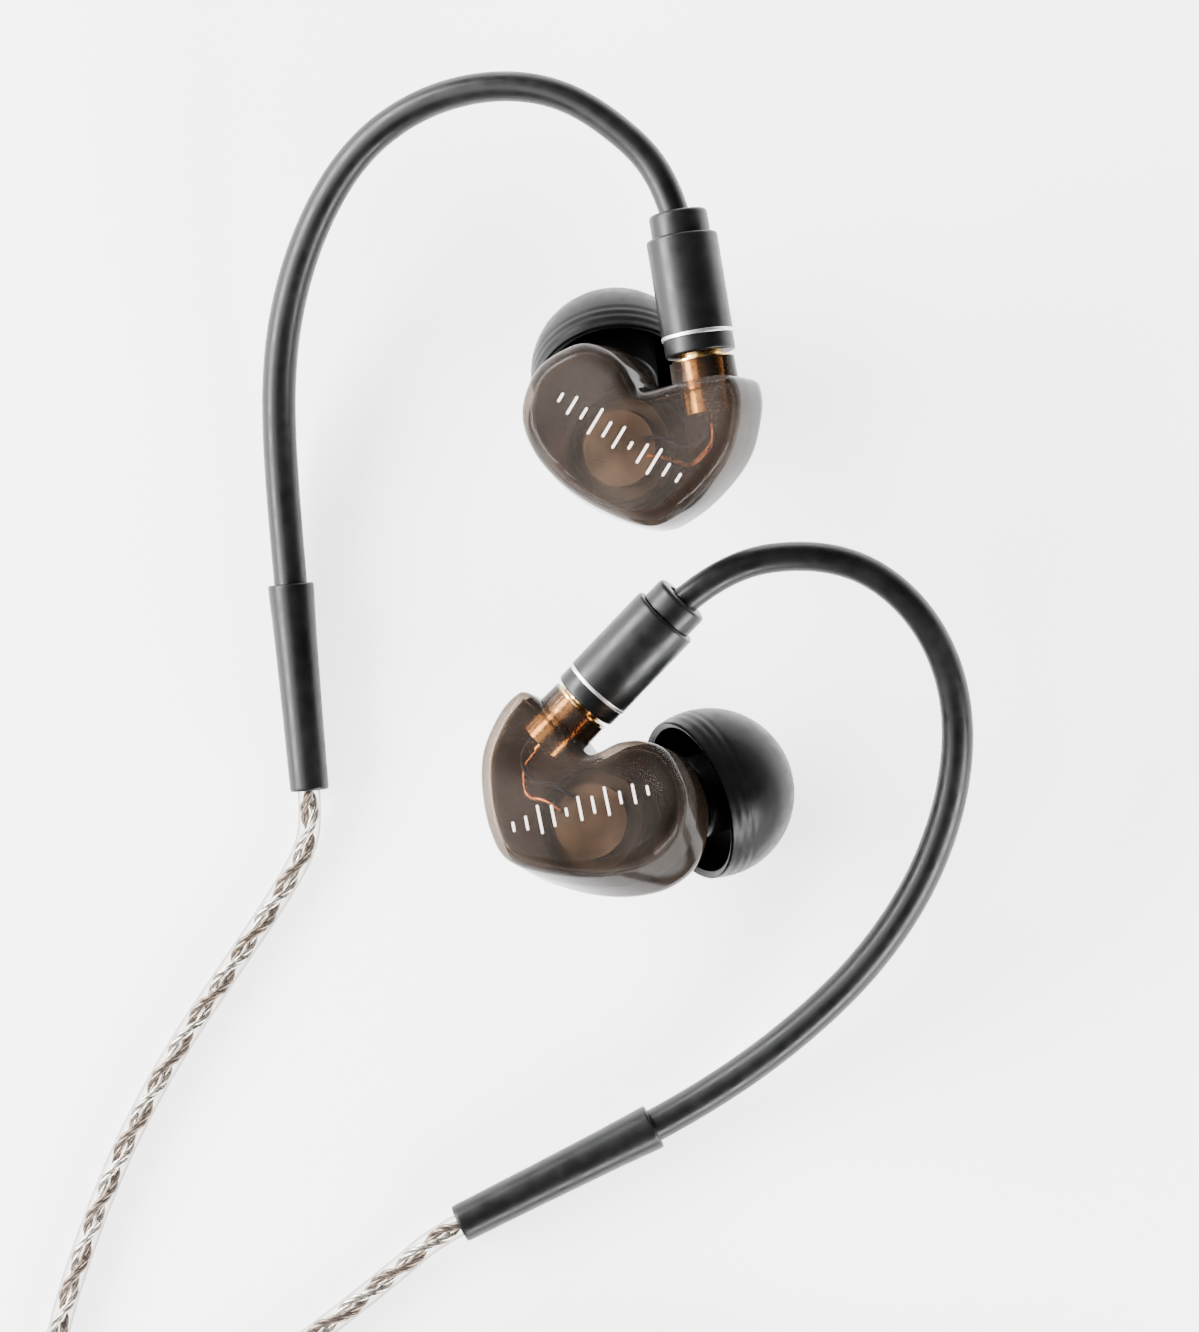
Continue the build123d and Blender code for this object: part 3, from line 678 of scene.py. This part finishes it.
def make_shell(side):
    """The outer cover and the inner shell: one form, hollowed, then parted at the seam."""
    nozzle = nozzle_matrix(side)
    for name, upper, material in (("outer_cover", True, smoked_shell), ("inner_shell", False, smoked_back)):
        steps = [
            ("UNION", cylinder(SOCKET_AXIS, COLLAR_LOW_R, COLLAR_HIGH_R, COLLAR_START, COLLAR_END)),
            ("UNION", cylinder(nozzle, STUB_LOW_R, STUB_HIGH_R, 0, STUB_END)),
            ("DIFFERENCE", solid(shell_block(WALL, False), "hollow")),
            ("DIFFERENCE", cylinder(SOCKET_AXIS, COLLAR_BORE_R, COLLAR_BORE_R, -0.2, COLLAR_END + 1)),
            ("DIFFERENCE", cylinder(nozzle, STUB_BORE_R, STUB_BORE_R, 0.4, STUB_END - 0.6)),
            ("DIFFERENCE", cylinder(nozzle, NOZZLE_SEAT_R, NOZZLE_SEAT_R, NOZZLE_SEAT, STUB_END + 1.4)),
            ("INTERSECT", half_space(upper)),
        ]
        carved = carve(solid(shell_block(0, True), "shell"), steps)
        bm = bmesh.new()
        bm.from_mesh(carved)
        bpy.data.meshes.remove(carved)
        mesh = mesh_of(bm, f"{side}_{name}_shell", EAR[side], SHELL_SHARP)
        add_piece(
            f"{side}_{name}_shell", mesh, material, f"{side}_earpiece", [f"{side}_{name}"]
        )


# ---------------------------------------------------------------- print on the cover

PRINT_ENDS = {"right": [(-3.1, 3.3), (5.4, -4.7)], "left": [(-2.9, 4.3), (3.0, -5.4)]}
PRINT_BARS = [0.35, 0.7, 0.45, 1.0, 0.6, 0.85, 0.3, 0.75, 1.0, 0.5, 0.35]
PRINT_HEIGHT = 2.35
PRINT_STROKE = 0.22
PRINT_THICKNESS = 0.03
PRINT_LIFT = 0.012


def make_print(side):
    """A row of level bars, as on a meter, printed across the cover."""
    start, end = (Vector(point) for point in PRINT_ENDS[side])
    along = (end - start).normalized()
    turn = Matrix.Rotation(Vector((1, 0)).angle_signed(along) * -1, 4, "Z")
    bm = bmesh.new()
    for i, share in enumerate(PRINT_BARS):
        place = start.lerp(end, i / (len(PRINT_BARS) - 1))
        away = (place - DOME_CENTRE).length / DOME_REACH
        height = COVER_HEIGHT + DOME * (1 - away**2) + PRINT_LIFT
        size = Matrix.Diagonal((PRINT_STROKE, PRINT_HEIGHT * share, PRINT_THICKNESS, 1))
        bar = bmesh.ops.create_cube(bm, size=1, matrix=Matrix.Translation((*place, height)) @ turn @ size)
        edges = set(edge for vert in bar["verts"] for edge in vert.link_edges)
        upright = [
            edge for edge in edges if abs(edge.verts[0].co.z - edge.verts[1].co.z) > PRINT_THICKNESS * 2 / 3
        ]
        bmesh.ops.bevel(
            bm, geom=upright, offset=PRINT_STROKE * CORNER_SHARE, segments=4, profile=0.5, affect="EDGES",
            material=-1,
        )
    mesh = mesh_of(bm, f"{side}_print", EAR[side])
    add_piece(f"{side}_print", mesh, print_ink, f"{side}_earpiece")


# ---------------------------------------------------------------- ear tip and nozzle

TIP_R = 6.75
TIP_CENTRE = 8.05
TIP_DEPTH = 1.85
TIP_WALL = 0.55
TIP_BORE_R = 2.7
TIP_STEM_R = 3.25
TIP_STEM_START = 6.4
TIP_NOSE = 0.25
TIP_EDGE = 0.1
TIP_RIM_EDGE = (0.12, 0.16)
# Where the faint rings lie, as points of the outer arc counted from the rim, and how deep they are
TIP_RING_POINTS = (2, 3, 6, 7, 10, 11)
TIP_RING_DEPTH = 0.035
NOZZLE_R = 2.4
NOZZLE_LIP_R = 2.65
NOZZLE_LIP = (11.8, 12.4, 12.7, 13.0)
NOZZLE_EDGE = 0.08


def arc(centre, radius, start, end, steps):
    """Points of a (radius, height) arc; the angle is measured from the outward direction."""
    angles = [start + (end - start) * i / steps for i in range(steps + 1)]
    return [Vector((radius * cos(angle), centre + radius * sin(angle))) for angle in angles]


def make_tip(side):
    """A domed silicone tip with faint moulded rings above its rim, open at the back round its stem."""
    rim_angle = -asin(TIP_DEPTH / TIP_R)
    nose_angle = acos((TIP_BORE_R + TIP_NOSE) / TIP_R)
    outer = arc(TIP_CENTRE, TIP_R, rim_angle, nose_angle, 54)
    for i in TIP_RING_POINTS:
        outer[i].x -= TIP_RING_DEPTH
    inner_r = TIP_R - TIP_WALL
    inner = arc(TIP_CENTRE, inner_r, acos(TIP_STEM_R / inner_r), rim_angle, 36)
    edge, drop = TIP_RIM_EDGE
    rim = [Vector((outer[0].x - edge, outer[0].y - drop)), Vector((inner[-1].x + edge, inner[-1].y - drop))]
    nose = [
        Vector((TIP_BORE_R + 0.08, outer[-1].y + 0.02)),
        Vector((TIP_BORE_R, outer[-1].y - 0.12)),
    ]
    stem = [
        Vector((TIP_BORE_R, TIP_STEM_START + TIP_EDGE)),
        Vector((TIP_BORE_R + TIP_EDGE, TIP_STEM_START)),
        Vector((TIP_STEM_R - TIP_EDGE, TIP_STEM_START)),
        Vector((TIP_STEM_R, TIP_STEM_START + TIP_EDGE)),
    ]
    bm = spun(outer + nose + stem + inner + rim, 96)
    mesh = mesh_of(bm, f"{side}_silicone_tip", EAR[side] @ nozzle_matrix(side), 50)
    add_piece(f"{side}_silicone_tip", mesh, silicone, f"{side}_tip", [f"{side}_ear_tip"])


def make_nozzle(side):
    """The black tube that carries the tip, with the lip that holds it."""
    lip_start, lip_low, lip_high, end = NOZZLE_LIP
    profile = [
        (STUB_BORE_R, NOZZLE_SEAT), (NOZZLE_R, NOZZLE_SEAT), (NOZZLE_R, lip_start), (NOZZLE_LIP_R, lip_low),
        (NOZZLE_LIP_R, lip_high), (NOZZLE_R, end), (STUB_BORE_R, end),
    ]
    bm = spun(round_corners(profile, [NOZZLE_EDGE] * len(profile), 3), ROUND_STEPS)
    mesh = mesh_of(bm, f"{side}_nozzle", EAR[side] @ nozzle_matrix(side))
    add_piece(
        f"{side}_nozzle", mesh, gloss_black, f"{side}_earpiece", [f"{side}_nozzle_tube"]
    )


# ---------------------------------------------------------------- plug housing

# Name, finish and slot, then the ends along the socket's axis, the outer and inner radius and the
# rounding of the outer edge at each end
HOUSING = [
    ("plug_collar", black_plastic, "black_plastic", 4.85, 6.2, 2.75, 1.65, 0.25, 0.05),
    ("plug_band", satin_metal, "bright_metal", 6.2, 6.5, 2.84, 1.65, 0.05, 0.05),
    ("plug_barrel", black_plastic, "black_plastic", 6.5, 14.2, 2.8, 1.65, 0.05, 0.3),
    ("plug_cap", black_plastic, "black_plastic", 14.2, 16.15, 2.3, 1.35, 0.1, 0.45),
]
BORE_EDGE = 0.05


def make_housing(side):
    """The black housing of the cable's plug, with its bright ring, and the stepped cap on the hook."""
    for name, material, slot, low, high, outer, inner, low_edge, high_edge in HOUSING:
        profile = [(inner, low), (outer, low), (outer, high), (inner, high)]
        bm = spun(round_corners(profile, [BORE_EDGE, low_edge, high_edge, BORE_EDGE], 5))
        mesh = mesh_of(bm, f"{side}_{name}_part", EAR[side] @ SOCKET_AXIS)
        add_piece(f"{side}_{name}_part", mesh, material, CABLE_BODY, [f"{side}_{name}"])


# ---------------------------------------------------------------- seal round the driver

DRIVER_CENTRE = Vector((-0.15, -1.15, 0))
SEAL_PROFILE = [(4.02, -2.3), (4.75, -2.3), (4.7, 0.45), (4.15, 0.45)]
SEAL_EDGE = 0.08


def make_seal(side):
    """The dark sleeve that seals the driver to the shell."""
    bm = spun(round_corners(SEAL_PROFILE, [SEAL_EDGE] * len(SEAL_PROFILE), 3))
    mesh = mesh_of(bm, f"{side}_driver_seal", EAR[side] @ Matrix.Translation(DRIVER_CENTRE))
    add_piece(f"{side}_driver_seal", mesh, silicone, f"{side}_earpiece")


# ---------------------------------------------------------------- wires inside the shell

HOOKUP_D = 0.35
WIRE_ROUTES = {
    "copper_wire": [
        (2.15, -2.25, 0.7), (3.65, -2.45, 0.8), (5.15, -3.75, 0.1), (6.85, -2.6, -0.1), (7.45, -1.8, -0.4),
        (7.45, -0.6, -0.4),
    ],
    "blue_wire": [
        (2.15, -0.85, 0.7), (3.75, -0.95, 0.9), (5.35, -2.35, 0.8), (7.05, -2.0, 1.4), (7.85, -0.8, 1.3),
        (7.85, 0.2, 1.3),
    ],
}


def make_wires(side):
    """The bare and the enamelled wire from the driver to the socket."""
    for name, points in WIRE_ROUTES.items():
        placed = [EAR[side] @ Vector(point) for point in points]
        data = route_spline(f"{side}_{name}", placed, HOOKUP_D * MM)
        material = copper if name == "copper_wire" else blue_enamel
        add_piece(
            f"{side}_{name}", data, material, f"{side}_earpiece", [f"{side}_hookup_wires"]
        )


# ---------------------------------------------------------------- ear hooks and sleeves

HOOK_INSIDE_CAP = 3.9
HOOK_LEAD = {"right": 2.6, "left": 3.2}
HOOK_ROUTES = {
    "right": [
        (0.2, 40.9, 15.7), (-5.4, 44.6, 14.3), (-13.3, 44.5, 12.0), (-20.2, 40.7, 9.6),
        (-24.3, 34.2, 7.2), (-26.6, 27.0, 5.1), (-27.3, 19.2, 3.3),
    ],
    "left": [
        (13.5, 8.2, 12.6), (20.2, 6.9, 12.1), (25.4, 1.4, 11.0), (27.3, -6.3, 9.3),
        (25.5, -15.4, 7.1), (21.2, -23.1, 5.0), (14.8, -29.9, 3.2),
    ],
}
SLEEVE_LEAD = 4.5
CAP_END = 16.15
# The hook's thickness at each of its points, as a share of HOOK_D
HOOK_SHARES = [0.86, 0.86, 0.86, 0.87, 0.90, 0.94, 0.98, 1.0, 1.0, 1.0, 0.98]
SLEEVE_EDGE = 0.22


def make_hook(side):
    """The formed tube over the ear, which thins a little towards the plug."""
    cap_centre = EAR[side] @ Vector((SOCKET_X, CAP_END, SOCKET_Z))
    along = (EAR[side].to_3x3() @ Vector((0, 1, 0))).normalized()
    upper, lower = (Vector(point) * MM for point in SLEEVE_ENDS[side])
    down = (lower - upper).normalized()
    points = [cap_centre - along * HOOK_INSIDE_CAP * MM, cap_centre + along * HOOK_LEAD[side] * MM]
    points += [Vector(point) * MM for point in HOOK_ROUTES[side]]
    points += [upper - down * SLEEVE_LEAD * MM, upper + down * SLEEVE_OVERLAP * MM]
    data = route_spline(f"{side}_hook_tube", points, HOOK_D * MM, radii=HOOK_SHARES, order=4, resolution=16)
    add_piece(f"{side}_hook_tube", data, hook_tube, CABLE_BODY, [f"{side}_ear_hook"])


def make_sleeve(side):
    """The shrunk sleeve that joins the hook to the clear cable."""
    upper, lower = (Vector(point) for point in SLEEVE_ENDS[side])
    length = (lower - upper).length
    profile = [
        (1.3, 0.0), (1.85, 0.0), (1.84, 0.5), (1.72, length * 0.25), (1.62, length * 0.6),
        (1.56, length - 0.6), (1.55, length), (0.85, length),
    ]
    bm = spun(round_corners(profile, [SLEEVE_EDGE] * len(profile)), ROUND_STEPS)
    placed = Matrix.Scale(MM, 4) @ axis_matrix(upper, lower - upper)
    mesh = mesh_of(bm, f"{side}_sleeve", placed)
    add_piece(f"{side}_sleeve", mesh, black_plastic, CABLE_BODY, [f"{side}_hook_sleeve"])


for side in SIDES:
    make_shell(side)
    make_print(side)
    make_tip(side)
    make_nozzle(side)
    make_housing(side)
    make_seal(side)
    make_wires(side)
    make_hook(side)
    make_sleeve(side)


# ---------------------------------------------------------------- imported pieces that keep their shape

KEPT = {
    "nozzle_mesh": bright_metal,
    "driver_frame": driver_plastic,
    "driver_yoke": magnet_metal,
    "driver_magnet": magnet_metal,
    "driver_pole": magnet_metal,
    "voice_coil": copper,
    "diaphragm": film,
    "socket_shell": gold,
    "socket_insulator": white_plastic,
    "socket_contact": gold,
    "plug_shield": gold,
    "plug_pin": gold,
    "snap_ring": gold,
}
KEPT_SHARED = {
    "chin_slider": black_plastic,
    "y_splitter": black_plastic,
    "jack_relief": silicone,
    "jack_body": black_plastic,
    "jack_contacts": gold,
    "jack_insulator": gloss_black,
}


def dress(node, material):
    """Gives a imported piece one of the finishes."""
    piece = nodes[node]
    for i in range(len(piece.data.materials)):
        piece.data.materials[i] = material
    if not piece.data.materials:
        piece.data.materials.append(material)


for name, material in KEPT.items():
    for side in SIDES:
        dress(f"{side}_{name}", material)
for name, material in KEPT_SHARED.items():
    dress(name, material)


# ---------------------------------------------------------------- floor and light

FLOOR_HALF = 1.5
FLOOR_GREY = 0.93
FLOOR_GLOW = 2.8
# The world's grey by the height of the direction: pale beyond the floor's edge, dim above
SURROUND_HEIGHTS = (0.16, 0.34)
SURROUND_GREYS = (0.85, 0.03)
LIGHT_TARGET = Vector((0, 0, 0.008))
# Name, direction from the target, distance and size in metres, and power in watts
PANELS = [
    ("left_panel", (-1.0, 0.25, 0.42), 0.45, (0.5, 0.16), 12.0),
    ("lower_right_panel", (0.75, -0.8, 0.42), 0.45, (0.4, 0.14), 6.0),
    ("haze_panel", (-0.68, -0.08, 0.73), 0.5, (0.36, 0.3), 1.7),
    ("overhead_panel", (-0.35, 0.6, 1.2), 0.9, (0.7, 0.7), 0.3),
]


def make_floor():
    """A pale floor that glows, so that it shows white and lights the pair from below."""
    bm = bmesh.new()
    bmesh.ops.create_grid(bm, x_segments=1, y_segments=1, size=FLOOR_HALF)
    mesh = bpy.data.meshes.new("floor")
    bm.to_mesh(mesh)
    bm.free()
    floor = bpy.data.objects.new("floor", mesh)
    bpy.context.scene.collection.objects.link(floor)
    paper = Finish("pale_paper")
    paper.set(
        Base_Color=(FLOOR_GREY, FLOOR_GREY, FLOOR_GREY, 1), Roughness=0.9,
        Emission_Color=(1, 1, 1, 1), Emission_Strength=FLOOR_GLOW,
    )
    mesh.materials.append(paper.material)


def make_panel(name, direction, distance, size, power):
    """A soft light panel that faces the pair."""
    data = bpy.data.lights.new(name, "AREA")
    data.shape = "RECTANGLE"
    data.size, data.size_y = size
    data.energy = power
    panel = bpy.data.objects.new(name, data)
    towards = Vector(direction).normalized()
    panel.location = LIGHT_TARGET + towards * distance
    panel.rotation_mode = "QUATERNION"
    panel.rotation_quaternion = towards.to_track_quat("Z", "Y")
    bpy.context.scene.collection.objects.link(panel)


def make_world():
    """A dim studio above a pale surround that fades out a little over the floor."""
    world = bpy.data.worlds.new("studio")
    bpy.context.scene.world = world
    world.use_nodes = True
    tree = world.node_tree
    heading = tree.nodes.new("ShaderNodeTexCoord")
    height = tree.nodes.new("ShaderNodeSeparateXYZ")
    fade = tree.nodes.new("ShaderNodeValToRGB")
    for element, position, grey in zip(fade.color_ramp.elements, SURROUND_HEIGHTS, SURROUND_GREYS):
        element.position = position
        element.color = (grey, grey, grey, 1)
    tree.links.new(heading.outputs["Generated"], height.inputs["Vector"])
    tree.links.new(height.outputs["Z"], fade.inputs["Fac"])
    tree.links.new(fade.outputs["Color"], tree.nodes["Background"].inputs["Color"])


make_floor()
make_world()
for panel in PANELS:
    make_panel(*panel)
